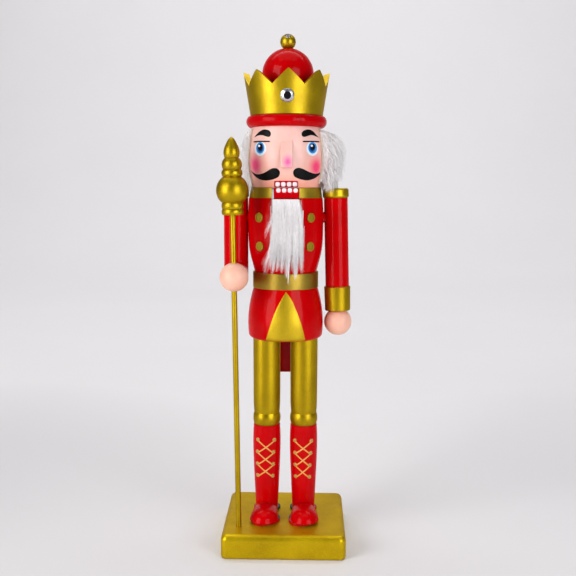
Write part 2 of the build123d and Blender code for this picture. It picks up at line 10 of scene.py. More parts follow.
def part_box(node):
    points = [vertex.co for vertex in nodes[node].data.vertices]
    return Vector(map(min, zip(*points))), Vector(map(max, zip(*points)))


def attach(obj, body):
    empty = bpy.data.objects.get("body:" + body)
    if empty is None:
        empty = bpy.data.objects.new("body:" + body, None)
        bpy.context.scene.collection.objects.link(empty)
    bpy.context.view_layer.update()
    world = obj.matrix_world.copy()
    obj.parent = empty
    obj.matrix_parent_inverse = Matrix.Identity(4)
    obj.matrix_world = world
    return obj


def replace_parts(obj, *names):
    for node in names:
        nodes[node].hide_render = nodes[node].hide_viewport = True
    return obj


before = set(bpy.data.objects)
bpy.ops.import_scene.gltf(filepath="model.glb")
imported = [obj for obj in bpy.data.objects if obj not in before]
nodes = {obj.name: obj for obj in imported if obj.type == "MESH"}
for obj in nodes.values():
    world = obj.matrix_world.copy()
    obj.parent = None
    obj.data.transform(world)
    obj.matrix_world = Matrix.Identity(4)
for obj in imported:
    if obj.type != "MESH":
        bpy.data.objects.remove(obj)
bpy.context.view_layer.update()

MM = 0.001
FIGURE = "figure"

CAMERA_PLACE = (0.01802, -0.65212, 0.27032)
CAMERA_ANGLES = (1.413, 6.75, 0.164)  # yaw, pitch and roll, in degrees
CAMERA_LENS, CAMERA_SENSOR = 54.59, 36.0


# ---------------------------------------------------------------- camera, light and floor

def make_camera():
    """Camera at the photograph's place and angle."""
    yaw, pitch, roll = (math.radians(a) for a in CAMERA_ANGLES)
    forward = Vector((-math.sin(yaw) * math.cos(pitch), math.cos(yaw) * math.cos(pitch), -math.sin(pitch)))
    level = Vector((math.cos(yaw), math.sin(yaw), 0))
    up = level.cross(forward)
    right = math.cos(roll) * level + math.sin(roll) * up
    up = math.cos(roll) * up - math.sin(roll) * level
    data = bpy.data.cameras.new("camera")
    data.lens = CAMERA_LENS
    data.sensor_width = CAMERA_SENSOR
    data.clip_start = 0.01
    data.clip_end = 50
    camera = bpy.data.objects.new("camera", data)
    bpy.context.collection.objects.link(camera)
    turn = Matrix((right, up, -forward)).transposed().to_4x4()
    camera.matrix_world = Matrix.Translation(CAMERA_PLACE) @ turn
    bpy.context.scene.camera = camera


def soft_light(name, place, target, width, height, power, colour=(1, 1, 1)):
    """Rectangular softbox at a place, facing the target."""
    data = bpy.data.lights.new(name, "AREA")
    data.shape = "RECTANGLE"
    data.size = width
    data.size_y = height
    data.energy = power
    data.color = colour
    light = bpy.data.objects.new(name, data)
    bpy.context.collection.objects.link(light)
    light.location = place
    light.rotation_euler = (Vector(place) - Vector(target)).to_track_quat("Z", "Y").to_euler()
    light.visible_camera = False


def make_studio():
    """Pale seamless sweep. Softboxes stand in front on both sides, and the room behind the camera is dark."""
    chest = (0, 0, 0.2)
    soft_light("key_light", (-0.90, -0.75, 0.50), chest, 0.75, 1.0, 12.5, (1.0, 0.985, 0.97))
    soft_light("fill_light", (0.80, -1.01, 0.32), chest, 0.75, 1.1, 12.7, (0.98, 0.985, 1.0))
    soft_light("top_light", (0.0, -0.1, 1.7), chest, 1.6, 1.4, 7)
    soft_light("backdrop_light", (0.0, 0.9, 2.6), (0, 2.9, 0.7), 4.0, 1.2, 68)

    world = bpy.data.worlds.new("studio")
    bpy.context.scene.world = world
    world.use_nodes = True
    tree = world.node_tree
    background = tree.nodes["Background"]
    direction = tree.nodes.new("ShaderNodeTexCoord")
    split = tree.nodes.new("ShaderNodeSeparateXYZ")
    ramp = tree.nodes.new("ShaderNodeValToRGB")
    ramp.color_ramp.elements[0].position = 0.40
    ramp.color_ramp.elements[0].color = (0.12, 0.12, 0.125, 1)
    ramp.color_ramp.elements[1].position = 0.85
    ramp.color_ramp.elements[1].color = (0.85, 0.84, 0.86, 1)
    lift = tree.nodes.new("ShaderNodeMapRange")
    lift.inputs["From Min"].default_value = -1.0
    tree.links.new(direction.outputs["Generated"], split.inputs[0])
    tree.links.new(split.outputs["Y"], lift.inputs["Value"])
    tree.links.new(lift.outputs[0], ramp.inputs[0])
    tree.links.new(ramp.outputs[0], background.inputs["Color"])
    background.inputs["Strength"].default_value = 0.34

    sweep = bmesh.new()
    half, front, depth, rise, bend, steps = 6.0, -6.0, 3.0, 5.0, 1.5, 12
    profile = [(front, 0.0), (depth - bend, 0.0)]
    for step in range(1, steps + 1):
        turn = math.radians(90 * step / steps)
        profile.append((depth - bend + bend * math.sin(turn), bend - bend * math.cos(turn)))
    profile.append((depth, rise))
    rows = [[sweep.verts.new((x, y, z)) for x in (-half, half)] for y, z in profile]
    for low, high in zip(rows, rows[1:]):
        face = sweep.faces.new((low[0], low[1], high[1], high[0]))
        face.smooth = True
    mesh_object("floor", sweep, [flat_paper()])
    bpy.context.scene.view_settings.view_transform = "Standard"


# ---------------------------------------------------------------- mesh helpers

def mesh_object(name, form, materials):
    """Turns a bmesh into an object with its materials."""
    data = bpy.data.meshes.new(name)
    form.normal_update()
    form.to_mesh(data)
    form.free()
    piece = bpy.data.objects.new(name, data)
    bpy.context.collection.objects.link(piece)
    for material in materials:
        data.materials.append(material)
    return piece


def surface_of(node):
    """Ray-castable surface of a CAD node."""
    form = bmesh.new()
    form.from_mesh(nodes[node].data)
    form.transform(nodes[node].matrix_world)
    tree = BVHTree.FromBMesh(form)
    form.free()
    return tree


def onto_front(tree, x, z):
    """Point and outward normal where a line along +Y first meets a surface."""
    hit, normal, _, _ = tree.ray_cast(Vector((x, -0.5, z)), Vector((0, 1, 0)))
    if hit is None:
        return None, None
    if normal.y > 0:
        normal = -normal
    return hit, normal


def edge_distance(x, z, outline):
    """Distance from a point to a closed outline."""
    best = 1e9
    for (ax, az), (bx, bz) in zip(outline, outline[1:] + outline[:1]):
        dx, dz = bx - ax, bz - az
        length2 = dx * dx + dz * dz
        if length2 == 0:
            continue
        t = max(0, min(1, ((x - ax) * dx + (z - az) * dz) / length2))
        best = min(best, math.hypot(x - ax - t * dx, z - az - t * dz))
    return best


def paint_patch(name, outline, tree, material, body=FIGURE, lift=0.12, soft=0.5, step=0.6, base=0.03):
    """Thin raised layer of paint: an outline of (x, z) in millimetres laid on a surface from the front.

    The layer rises from base to lift over the soft width, so its edge is rounded like brushed paint."""
    form = bmesh.new()
    form.faces.new([form.verts.new((x, 0, z)) for x, z in outline])
    for axis, normal in ((0, (1, 0, 0)), (1, (0, 0, 1))):
        low, high = min(p[axis] for p in outline), max(p[axis] for p in outline)
        count = max(1, int((high - low) / step))
        for k in range(1, count):
            spot = Vector(normal) * (low + (high - low) * k / count)
            geom = form.verts[:] + form.edges[:] + form.faces[:]
            bmesh.ops.bisect_plane(form, geom=geom, dist=1e-5, plane_co=spot, plane_no=normal)
    bmesh.ops.triangulate(form, faces=[f for f in form.faces if len(f.verts) > 4])
    for vert in form.verts:
        x, z = vert.co.x, vert.co.z
        rise = min(1, edge_distance(x, z, outline) / soft)
        height = base + (lift - base) * math.sqrt(rise * (2 - rise))
        hit, normal = onto_front(tree, x * MM, z * MM)
        if hit is None:
            raise RuntimeError(f"{name} runs off its surface at x {x:.1f}, z {z:.1f} mm")
        vert.co = hit + normal * height * MM
    for face in form.faces:
        face.smooth = True
        if face.normal.y > 0:
            face.normal_flip()
    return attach(mesh_object(name, form, [material]), body)


def paint_stroke(form, points, width, tree, lift=0.2, base=0.03):
    """Adds a brushed line through (x, z) points in millimetres, rounded across, to a mesh."""
    lengths = [0.0]
    for (ax, az), (bx, bz) in zip(points, points[1:]):
        lengths.append(lengths[-1] + math.hypot(bx - ax, bz - az))
    count = max(2, int(lengths[-1] / 0.5))
    rows = []
    for k in range(count + 1):
        at = lengths[-1] * k / count
        i = max(j for j in range(len(points) - 1) if lengths[j] <= at + 1e-9)
        t = (at - lengths[i]) / (lengths[i + 1] - lengths[i])
        (ax, az), (bx, bz) = points[i], points[i + 1]
        x, z = ax + (bx - ax) * t, az + (bz - az) * t
        span = math.hypot(bx - ax, bz - az)
        side = Vector((-(bz - az) / span, (bx - ax) / span))
        ends = min(1, 2.2 * min(k, count - k) / count * lengths[-1] / width + 0.35)
        wide = width / 2 * ends
        row = []
        for j in range(5):
            across = -1 + j / 2
            hit, normal = onto_front(tree, (x + side.x * wide * across) * MM,
                                     (z + side.y * wide * across) * MM)
            row.append(form.verts.new(hit + normal * (base + lift * (1 - across * across)) * MM))
        rows.append(row)
    for low, high in zip(rows, rows[1:]):
        for j in range(4):
            face = form.faces.new((low[j], low[j + 1], high[j + 1], high[j]))
            face.smooth = True
            face.normal_update()
            if face.normal.y > 0:
                face.normal_flip()


def oval(cx, cz, rx, rz, count=40, power=2.0):
    """Outline of an ellipse, or of a squarer superellipse, in millimetres."""
    points = []
    for k in range(count):
        c, s = math.cos(2 * math.pi * k / count), math.sin(2 * math.pi * k / count)
        points.append((cx + rx * math.copysign(abs(c) ** (2 / power), c),
                       cz + rz * math.copysign(abs(s) ** (2 / power), s)))
    return points


def smooth_loop(points, sharp=(), per_span=6):
    """Closed Catmull-Rom curve through a few points. The numbered sharp points stay corners."""
    out = []
    count = len(points)
    for k in range(count):
        p0, p1, p2, p3 = (points[(k + d) % count] for d in (-1, 0, 1, 2))
        if k in sharp:
            p0 = p1
        if (k + 1) % count in sharp:
            p3 = p2
        for j in range(per_span):
            t = j / per_span
            out.append(tuple(
                0.5 * (2 * b + (c - a) * t + (2 * a - 5 * b + 4 * c - d) * t * t
                       + (3 * b - a - 3 * c + d) * t ** 3)
                for a, b, c, d in zip(p0, p1, p2, p3)))
    return out


def strands(name, paths, material, body, width=0.16, rows=7):
    """Fur: each path is (root, middle, tip) in millimetres and becomes a three-sided tapered hair."""
    points, faces = [], []
    for root, middle, tip in paths:
        root, middle, tip = Vector(root), Vector(middle), Vector(tip)
        first = len(points)
        turn = random.uniform(0, 2)
        wide = width * random.uniform(0.7, 1.35)
        for k in range(rows + 1):
            t = k / rows
            at = root * (1 - t) ** 2 + middle * 2 * t * (1 - t) + tip * t * t
            along = ((middle - root) * (1 - t) + (tip - middle) * t).normalized()
            across = along.cross(Vector((0.2, 0.3, 1) if abs(along.z) < 0.9 else (1, 0.3, 0.2))).normalized()
            other = along.cross(across)
            r = wide * (1 - t) ** 0.55 + 0.012
            for j in range(3):
                a = 2 * math.pi * (j + turn) / 3
                points.append((at + (across * math.cos(a) + other * math.sin(a)) * r) * MM)
        for k in range(rows):
            for j in range(3):
                low, high = first + 3 * k, first + 3 * k + 3
                faces.append((low + j, low + (j + 1) % 3, high + (j + 1) % 3, high + j))
    data = bpy.data.meshes.new(name)
    data.from_pydata(points, [], faces)
    data.polygons.foreach_set("use_smooth", [True] * len(faces))
    data.materials.append(material)
    piece = bpy.data.objects.new(name, data)
    bpy.context.collection.objects.link(piece)
    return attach(piece, body)


def grid_mesh(name, rings, material, body):
    """Smooth closed skin over rings of points in millimetres."""
    form = bmesh.new()
    rows = [[form.verts.new(Vector(p) * MM) for p in ring] for ring in rings]
    for low, high in zip(rows, rows[1:]):
        for j in range(len(low)):
            k = (j + 1) % len(low)
            form.faces.new((low[j], low[k], high[k], high[j])).smooth = True
    form.faces.new(rows[0][::-1])
    form.faces.new(rows[-1])
    bmesh.ops.recalc_face_normals(form, faces=form.faces)
    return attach(mesh_object(name, form, [material]), body)


# ---------------------------------------------------------------- materials

class Finish:
    """A node material built step by step. Every pattern is in the row's own metres."""

    def __init__(self, name):
        self.material = bpy.data.materials.new(name)
        self.material.use_nodes = True
        self.tree = self.material.node_tree
        self.shader = self.tree.nodes["Principled BSDF"]
        self.place = self.tree.nodes.new("ShaderNodeTexCoord").outputs["Object"]

    def set(self, **values):
        for key, value in values.items():
            self.shader.inputs[key.replace("_", " ")].default_value = value

    def link(self, source, target):
        self.tree.links.new(source, target)

    def scaled(self, x, y, z, shift=(0, 0, 0)):
        node = self.tree.nodes.new("ShaderNodeMapping")
        node.inputs["Scale"].default_value = (x, y, z)
        node.inputs["Location"].default_value = shift
        self.link(self.place, node.inputs["Vector"])
        return node.outputs[0]

    def axes(self):
        """X, Y and Z of the place."""
        node = self.tree.nodes.new("ShaderNodeSeparateXYZ")
        self.link(self.place, node.inputs[0])
        return node.outputs

    def noise(self, scale, detail=3.0, rough=0.55, at=None):
        node = self.tree.nodes.new("ShaderNodeTexNoise")
        node.inputs["Scale"].default_value = scale
        node.inputs["Detail"].default_value = detail
        node.inputs["Roughness"].default_value = rough
        self.link(at or self.place, node.inputs["Vector"])
        return node.outputs["Fac"]

    def ramp(self, source, stops):
        node = self.tree.nodes.new("ShaderNodeValToRGB")
        ramp = node.color_ramp
        while len(ramp.elements) < len(stops):
            ramp.elements.new(0.5)
        for element, (position, colour) in zip(ramp.elements, stops):
            element.position = position
            element.color = colour if len(colour) == 4 else (*colour, 1)
        self.link(source, node.inputs[0])
        return node.outputs[0]

    def span(self, source, low, high, to_low=0.0, to_high=1.0):
        node = self.tree.nodes.new("ShaderNodeMapRange")
        for key, value in (("From Min", low), ("From Max", high), ("To Min", to_low), ("To Max", to_high)):
            node.inputs[key].default_value = value
        self.link(source, node.inputs["Value"])
        return node.outputs[0]

    def math(self, kind, a, b):
        node = self.tree.nodes.new("ShaderNodeMath")
        node.operation = kind
        for value, socket in ((a, node.inputs[0]), (b, node.inputs[1])):
            if isinstance(value, (int, float)):
                socket.default_value = value
            else:
                self.link(value, socket)
        return node.outputs[0]

    def mix(self, amount, a, b):
        node = self.tree.nodes.new("ShaderNodeMix")
        node.data_type = "RGBA"
        for value, socket in ((amount, node.inputs[0]), (a, node.inputs[6]), (b, node.inputs[7])):
            if isinstance(value, (int, float)):
                socket.default_value = value
            elif isinstance(value, tuple):
                socket.default_value = (*value, 1)
            else:
                self.link(value, socket)
        return node.outputs[2]

    def near(self, centre, radii):
        """1 at a centre, falling to 0 on an ellipsoid round it. Both are in metres."""
        scale = [1 / r for r in radii]
        at = self.scaled(*scale, shift=[-c * s for c, s in zip(centre, scale)])
        node = self.tree.nodes.new("ShaderNodeVectorMath")
        node.operation = "LENGTH"
        self.link(at, node.inputs[0])
        return self.span(node.outputs["Value"], 0.0, 1.0, 1.0, 0.0)

    def lathe_lines(self, scale):
        """Noise that changes along the upright axis only, as a turning tool leaves."""
        return self.noise(1.0, 2.0, 0.6, self.scaled(6, 6, scale))

    def bump(self, height, strength, distance):
        node = self.tree.nodes.new("ShaderNodeBump")
        node.inputs["Strength"].default_value = strength
        node.inputs["Distance"].default_value = distance
        self.link(height, node.inputs["Height"])
        self.link(node.outputs[0], self.shader.inputs["Normal"])


def flat_paper():
    """Pale matt paper, with painted shade: slightly darker patches on both sides of the figure."""
    f = Finish("studio_paper")
    f.set(Roughness=0.9, Specular_IOR_Level=0.1)
    paper = f.ramp(f.noise(3.0), [(0.3, (0.80, 0.785, 0.80)), (0.7, (0.815, 0.80, 0.815))])
    # painted shade: patches either side of the figure are darkened against the lamps' pool of light there
    for centre, amount in (((-0.40, 0.08, 0), 0.95), ((0.42, 0.08, 0), 0.45)):
        painted_shade = f.span(f.near(centre, (0.44, 0.44, 1)), 0.0, 1.0, 0.0, amount)
        paper = f.mix(painted_shade, paper, (0.55, 0.545, 0.56))
    f.link(paper, f.shader.inputs["Base Color"])
    return f.material


def red_lacquer(name, dark=1.0, turned=True, pale_slot=None):
    """Gloss red lacquer over wood: slight colour drift, faint turning lines and orange peel.

    dark, below 1, darkens the red as painted shade.
    The last argument is (low x, high x, low z) of a sawn slot whose walls show pale, glossy primer; their
    pale colour is also painted light, standing in for the light seen through the slot."""
    f = Finish(name)
    coat = 0.16
    drift = f.noise(55, 4, 0.6)
    # dark below 1 scales this red down: painted shade
    colour = f.ramp(drift, [(0.25, (0.47 * dark, 0.0, 0.001)), (0.75, (0.60 * dark, 0.0, 0.002))])
    speck = f.span(f.noise(900, 2, 0.5), 0.70, 0.78, 0.0, 0.35)
    colour = f.mix(speck, colour, (0.26, 0.0, 0.002))
    if pale_slot:
        low_x, high_x, low_z = pale_slot
        slack = 0.00002
        axes = f.axes()
        off = f.math("ABSOLUTE", f.math("SUBTRACT", axes["X"], (low_x + high_x) / 2), 0.0)
        inside = f.math("MULTIPLY", f.math("LESS_THAN", off, (high_x - low_x) / 2 + slack),
                        f.math("GREATER_THAN", axes["Z"], low_z))
        # pale primer on the slot walls, also painted light standing in for the light seen through the slot
        colour = f.mix(inside, colour, (0.90, 0.78, 0.74))
        f.link(f.math("ADD", f.math("MULTIPLY", inside, 1 - coat), coat), f.shader.inputs["Coat Weight"])
    f.link(colour, f.shader.inputs["Base Color"])
    f.link(f.span(f.noise(160, 3), 0.3, 0.7, 0.26, 0.36), f.shader.inputs["Roughness"])
    f.set(Specular_IOR_Level=0.02, Coat_Weight=coat, Coat_Roughness=0.09, Coat_IOR=1.45,
          Coat_Tint=(1, 0.72, 0.85, 1))
    height = f.math("ADD", f.math("MULTIPLY", f.lathe_lines(900), 0.5 if turned else 0.0), f.noise(420, 2))
    f.bump(height, 0.18, 0.0002)
    return f.material


def gold_lacquer(name, deep=(0.40, 0.26, 0.003), bright=(0.62, 0.43, 0.005), rough=0.40, lines=700,
                 metal=0.8, coat=0.09):
    """Metallic gold lacquer: fine flake, turning lines and slightly worn, darker patches."""
    f = Finish(name)
    drift = f.noise(38, 5, 0.6)
    flake = f.noise(2600, 1, 0.5)
    colour = f.ramp(drift, [(0.25, deep), (0.72, bright)])
    colour = f.mix(f.span(flake, 0.45, 0.75, 0.0, 0.5), colour, tuple(min(1, c * 1.35) for c in bright))
    f.link(colour, f.shader.inputs["Base Color"])
    f.link(f.span(f.noise(110, 3), 0.3, 0.7, rough - 0.06, rough + 0.08), f.shader.inputs["Roughness"])
    f.set(Metallic=metal, Specular_IOR_Level=0.15, Specular_Tint=(0.62, 0.45, 0.12, 1), Coat_Weight=coat,
          Coat_Roughness=0.28)
    height = f.math("ADD", f.math("MULTIPLY", f.lathe_lines(lines), 0.8), f.math("MULTIPLY", flake, 0.35))
    f.bump(height, 0.16, 0.0002)
    return f.material


def skin_paint(name, base, light, tint_spots=()):
    """Satin skin-tone paint. Each tint spot is (centre, radii, colour, weight), laid softly over it:
    airbrushed blush, and on the face also painted shade and painted light.
    """
    f = Finish(name)
    colour = f.ramp(f.noise(70, 4, 0.6), [(0.3, base), (0.7, light)])
    for centre, radii, tint, weight in tint_spots:
        amount = f.span(f.math("POWER", f.near(centre, radii), 1.4), 0.0, 1.0, 0.0, weight)
        colour = f.mix(amount, colour, tint)
    f.link(colour, f.shader.inputs["Base Color"])
    f.link(f.span(f.noise(140, 3), 0.3, 0.7, 0.30, 0.42), f.shader.inputs["Roughness"])
    f.set(Specular_IOR_Level=0.3, Coat_Weight=0.16, Coat_Roughness=0.18)
    f.bump(f.math("ADD", f.math("MULTIPLY", f.lathe_lines(500), 0.4), f.noise(380, 2)), 0.12, 0.0002)
    return f.material


def plain_paint(name, colour, rough=0.35, coat=0.3, drift=0.12, gloss=0.5):
    """Hand-brushed paint in one colour, with slight streaks."""
    f = Finish(name)
    dark = tuple(c * (1 - drift) for c in colour)
    light = tuple(min(1, c * (1 + drift)) for c in colour)
    f.link(f.ramp(f.noise(900, 3, 0.6), [(0.3, dark), (0.7, light)]), f.shader.inputs["Base Color"])
    f.link(f.span(f.noise(500, 2), 0.3, 0.7, rough - 0.05, rough + 0.07), f.shader.inputs["Roughness"])
    f.set(Coat_Weight=coat, Coat_Roughness=0.12, Specular_IOR_Level=gloss)
    f.bump(f.noise(800, 2), 0.15, 0.0001)
    return f.material


def sole_paint(name, side):
    """Black sole. The red of the shoe runs over its edge at the toe and on the outer side."""
    f = Finish(name)
    axes = f.axes()
    uneven = f.math("MULTIPLY", f.noise(300, 2), 0.002)
    toe = f.span(f.math("ADD", axes["Y"], uneven), -0.018, -0.015, 1, 0)
    outer = f.span(f.math("MULTIPLY", axes["X"], side), 0.019, 0.021)
    colour = f.mix(f.math("MAXIMUM", toe, outer), (0.010, 0.009, 0.010), (0.42, 0.0, 0.002))
    f.link(colour, f.shader.inputs["Base Color"])
    f.link(f.span(f.noise(500, 2), 0.3, 0.7, 0.30, 0.42), f.shader.inputs["Roughness"])
    f.set(Specular_IOR_Level=0.15, Coat_Weight=0.1)
    f.bump(f.noise(800, 2), 0.15, 0.0001)
    return f.material


def steel(name):
    """Bright metal with slight stains and uneven polish."""
    f = Finish(name)
    colour = f.ramp(f.noise(300, 3), [(0.3, (0.50, 0.50, 0.52)), (0.7, (0.66, 0.66, 0.68))])
    f.link(colour, f.shader.inputs["Base Color"])
    f.link(f.span(f.noise(900, 2), 0.3, 0.7, 0.22, 0.38), f.shader.inputs["Roughness"])
    f.set(Metallic=1.0)
    return f.material


def bare_wood(name):
    """Unpainted dowel wood with grain along the upright axis."""
    f = Finish(name)
    grain = f.noise(1.0, 5, 0.65, f.scaled(700, 700, 60))
    colour = f.ramp(grain, [(0.3, (0.44, 0.27, 0.13)), (0.7, (0.66, 0.46, 0.27))])
    f.link(colour, f.shader.inputs["Base Color"])
    f.set(Roughness=0.6)
    f.bump(grain, 0.3, 0.0002)
    return f.material


def fur(name, root, tip):
    """Long-pile synthetic fur: pale and soft, with a little sheen."""
    f = Finish(name)
    colour = f.ramp(f.noise(420, 3, 0.6), [(0.25, root), (0.75, tip)])
    f.link(colour, f.shader.inputs["Base Color"])
    f.set(Roughness=0.7, Specular_IOR_Level=0.15, Sheen_Weight=0.2, Sheen_Roughness=0.5)
    f.bump(f.noise(1600, 2), 0.1, 0.0001)
    return f.material


def eye_white(x, z):
    """White of the eye, airbrushed to pale blue at its rim."""
    f = Finish("eye_white")
    rim = f.near((x * MM, -0.018, z * MM), (0.0050, 0.012, 0.0058))
    f.link(f.ramp(rim, [(0.02, (0.86, 0.62, 0.58)), (0.10, (0.88, 0.87, 0.92)), (0.22, (0.64, 0.80, 0.92))]),
           f.shader.inputs["Base Color"])
    f.set(Roughness=0.35, Coat_Weight=0.2)
    f.bump(f.noise(600, 2), 0.1, 0.0001)
    return f.material


def iris_paint(name, x, z):
    """Blue iris: dark round the pupil, bright in a ring, with a darker rim."""
    f = Finish(name)
    rim = f.near((x * MM, -0.018, z * MM), (0.0033, 0.010, 0.0043))
    f.link(f.ramp(rim, [(0.02, (0.07, 0.34, 0.74)), (0.16, (0.05, 0.28, 0.68)), (0.34, (0.012, 0.11, 0.40)),
                        (0.55, (0.003, 0.02, 0.10))]), f.shader.inputs["Base Color"])
    f.set(Roughness=0.25, Coat_Weight=0.4)
    f.bump(f.noise(900, 2), 0.1, 0.0001)
    return f.material


make_camera()
make_studio()

# The first colour on the next line is painted shade: a warmer, darker skin tone over the lower face
CHIN_WARM_SHADE, CHEEK_WARM = (0.88, 0.30, 0.18), (0.92, 0.38, 0.29)
# The brighter cheek pink on the next line is painted light, a lit copy of the cheek pink
CHEEK_PINK, CHEEK_PINK_LIT, NOSE_PINK = (0.90, 0.050, 0.17), (1.0, 0.085, 0.27), (0.91, 0.13, 0.40)
SLOT = (-0.00965, 0.01045, 0.23245)
RED = red_lacquer("red_lacquer")
# torso: slot walls coloured pale primer, partly painted light for the light seen through the slot
RED_TORSO = red_lacquer("red_lacquer_torso", pale_slot=SLOT)
# brim and dome: the red lacquer darkened as painted shade
RED_HAT_SHADED = red_lacquer("red_lacquer_hat_painted_shade", dark=0.88)
# jaw lever: the red lacquer darkened to under half as painted shade, as its tail hangs in shade behind the
# figure
RED_LEVER_SHADED = red_lacquer("red_lacquer_lever_painted_shade", dark=0.45, turned=False)
JAW_RED = plain_paint("jaw_red", (0.50, 0.0, 0.003), coat=0.1, gloss=0.05)
LIP_RED = plain_paint("lip_red", (0.38, 0.0, 0.02), coat=0.1, gloss=0.05)
GOLD = gold_lacquer("gold_lacquer")
GOLD_CROWN = gold_lacquer("gold_lacquer_crown", (0.34, 0.22, 0.003), (0.52, 0.36, 0.006), rough=0.38,
                          metal=0.9, coat=0.2)
GOLD_LEG = gold_lacquer("gold_lacquer_leg", (0.30, 0.19, 0.003), (0.47, 0.32, 0.005), rough=0.38, metal=0.9)
GOLD_OLIVE = gold_lacquer("gold_lacquer_olive", (0.34, 0.24, 0.02), (0.48, 0.34, 0.03), rough=0.42)
GOLD_BELT = gold_lacquer("gold_lacquer_belt", (0.25, 0.16, 0.02), (0.42, 0.29, 0.04), rough=0.40, metal=0.9)
GOLD_PANEL = gold_lacquer("gold_paint_panel", (0.40, 0.27, 0.01), (0.58, 0.40, 0.015), rough=0.45,
                          lines=1500)
SOLES = {"left": sole_paint("sole_paint_left", 1), "right": sole_paint("sole_paint_right", -1)}
LACE = plain_paint("lace_gold", (0.74, 0.36, 0.06), rough=0.4)
EYELET = plain_paint("eyelet_gold", (0.48, 0.28, 0.04), rough=0.35)
SKIN = skin_paint("skin_paint", (0.84, 0.43, 0.31), (0.90, 0.52, 0.40))
FACE = skin_paint("face_paint", (0.80, 0.46, 0.40), (0.86, 0.54, 0.49), (
    # painted shade: warmer, darker tone across the lower face
    ((0.0010, -0.0180, 0.2670), (0.060, 0.060, 0.0190), CHIN_WARM_SHADE, 1.1),
    ((-0.0185, -0.016, 0.2845), (0.015, 0.02, 0.015), CHEEK_WARM, 0.75),
    ((0.0205, -0.016, 0.2840), (0.015, 0.02, 0.015), CHEEK_WARM, 0.75),
    # painted light: the brighter pink offsets the finial's shadow on this cheek
    ((-0.0217, -0.0136, 0.2842), (0.0078, 0.013, 0.0105), CHEEK_PINK_LIT, 1.5),
    ((0.0227, -0.0128, 0.2830), (0.0078, 0.013, 0.0105), CHEEK_PINK, 1.5),
    ((0.0022, -0.0290, 0.2864), (0.0050, 0.0060, 0.0080), NOSE_PINK, 1.25)))
BLACK_PAINT = plain_paint("brush_black", (0.003, 0.003, 0.0035), rough=0.42, coat=0.04, gloss=0.08)
PUPIL = plain_paint("pupil_black", (0.002, 0.003, 0.009), rough=0.3, coat=0.05, gloss=0.1)
WHITE = plain_paint("glint_white", (0.92, 0.93, 0.95), drift=0.03)
TOOTH = plain_paint("tooth_white", (0.84, 0.74, 0.77), rough=0.3, drift=0.04)
STEEL = steel("screw_steel")
WOOD = bare_wood("beech_dowel")
# The beard fur is a darker copy of the hair's white fur: painted shade for the fur's self-shadowing
BEARD_FUR_SHADED = fur("beard_white_painted_shade", (0.82, 0.80, 0.81), (0.94, 0.92, 0.93))
HAIR = fur("hair_white", (0.93, 0.91, 0.915), (0.98, 0.965, 0.97))
BACKING = plain_paint("hair_backing", (0.72, 0.58, 0.44), rough=0.8, coat=0.0)
FACET = steel("facet_silver")
# near-black paint on the stones' tables: painted reflection, standing in for the dark reflection seen in a
# clear stone
TABLE_PAINTED_DARK = plain_paint("table_painted_reflection", (0.004, 0.004, 0.006), rough=0.2, coat=0.5, gloss=0.1)

finishes = {
    "base": GOLD, "base_screws": STEEL, "skirt": RED, "belt": GOLD_BELT, "torso": RED_TORSO,
    "waist_dowel": WOOD, "neck_dowels": WOOD, "hat_dowel": WOOD, "elbow_dowel": WOOD,
    "coat_buttons": GOLD_OLIVE, "jaw_lever": RED_LEVER_SHADED, "lever_pin": STEEL, "head": FACE, "nose": FACE,
    "hat_brim": RED_HAT_SHADED, "crown": GOLD_CROWN, "crown_dome": RED_HAT_SHADED, "dome_bead": GOLD_CROWN,
    "sleeve_left": RED, "cuff_left": GOLD_LEG, "upper_arm_right": RED, "forearm_right": RED,
    "staff_rod": GOLD_LEG, "staff_finial": GOLD_LEG, "hand_left": SKIN, "hand_right": SKIN,
}
for side in ("left", "right"):
    finishes.update({
        f"boot_sole_{side}": SOLES[side], f"boot_toe_{side}": RED, f"boot_{side}": RED,
        f"trouser_leg_{side}": GOLD_LEG, f"collar_{side}": GOLD_OLIVE, f"epaulette_{side}": GOLD_CROWN,
        f"shoulder_dowel_{side}": RED, f"wrist_dowel_{side}": WOOD,
    })
for node, material in finishes.items():
    nodes[node].data.materials.clear()
    nodes[node].data.materials.append(material)

bevel = nodes["crown"].modifiers.new("soft_edges", "BEVEL")
bevel.width = 0.0007
bevel.segments = 3
bevel.limit_method = "ANGLE"
bevel.angle_limit = math.radians(40)


# ---------------------------------------------------------------- painted face

head_front = surface_of("head")
brow_left = smooth_loop([(-22.7, 304.2), (-20.8, 306.4), (-18.4, 308.4), (-16.0, 309.5), (-13.7, 309.5),
                         (-11.3, 308.6), (-10.1, 306.6), (-10.7, 304.6), (-12.4, 304.2), (-16.5, 305.5),
                         (-19.6, 305.4)], sharp=(0,))
brow_right = smooth_loop([(24.3, 304.2), (22.3, 306.3), (20.2, 308.5), (17.9, 309.6), (15.6, 309.6),
                          (13.2, 308.7), (11.8, 306.6), (12.4, 304.7), (14.1, 304.3), (18.4, 305.7),
                          (21.4, 305.3)], sharp=(0,))
moustache_left = smooth_loop([(-26.5, 282.0), (-24.4, 279.7), (-21.8, 278.1), (-18.9, 277.7), (-15.5, 278.6),
                              (-12.6, 280.0), (-10.0, 281.5), (-7.5, 282.1), (-5.0, 281.4), (-3.5, 279.2),
                              (-4.3, 276.2), (-6.9, 274.6), (-9.9, 273.7), (-13.6, 273.2), (-17.5, 273.7),
                              (-20.6, 275.2), (-23.4, 277.7)], sharp=(0,))
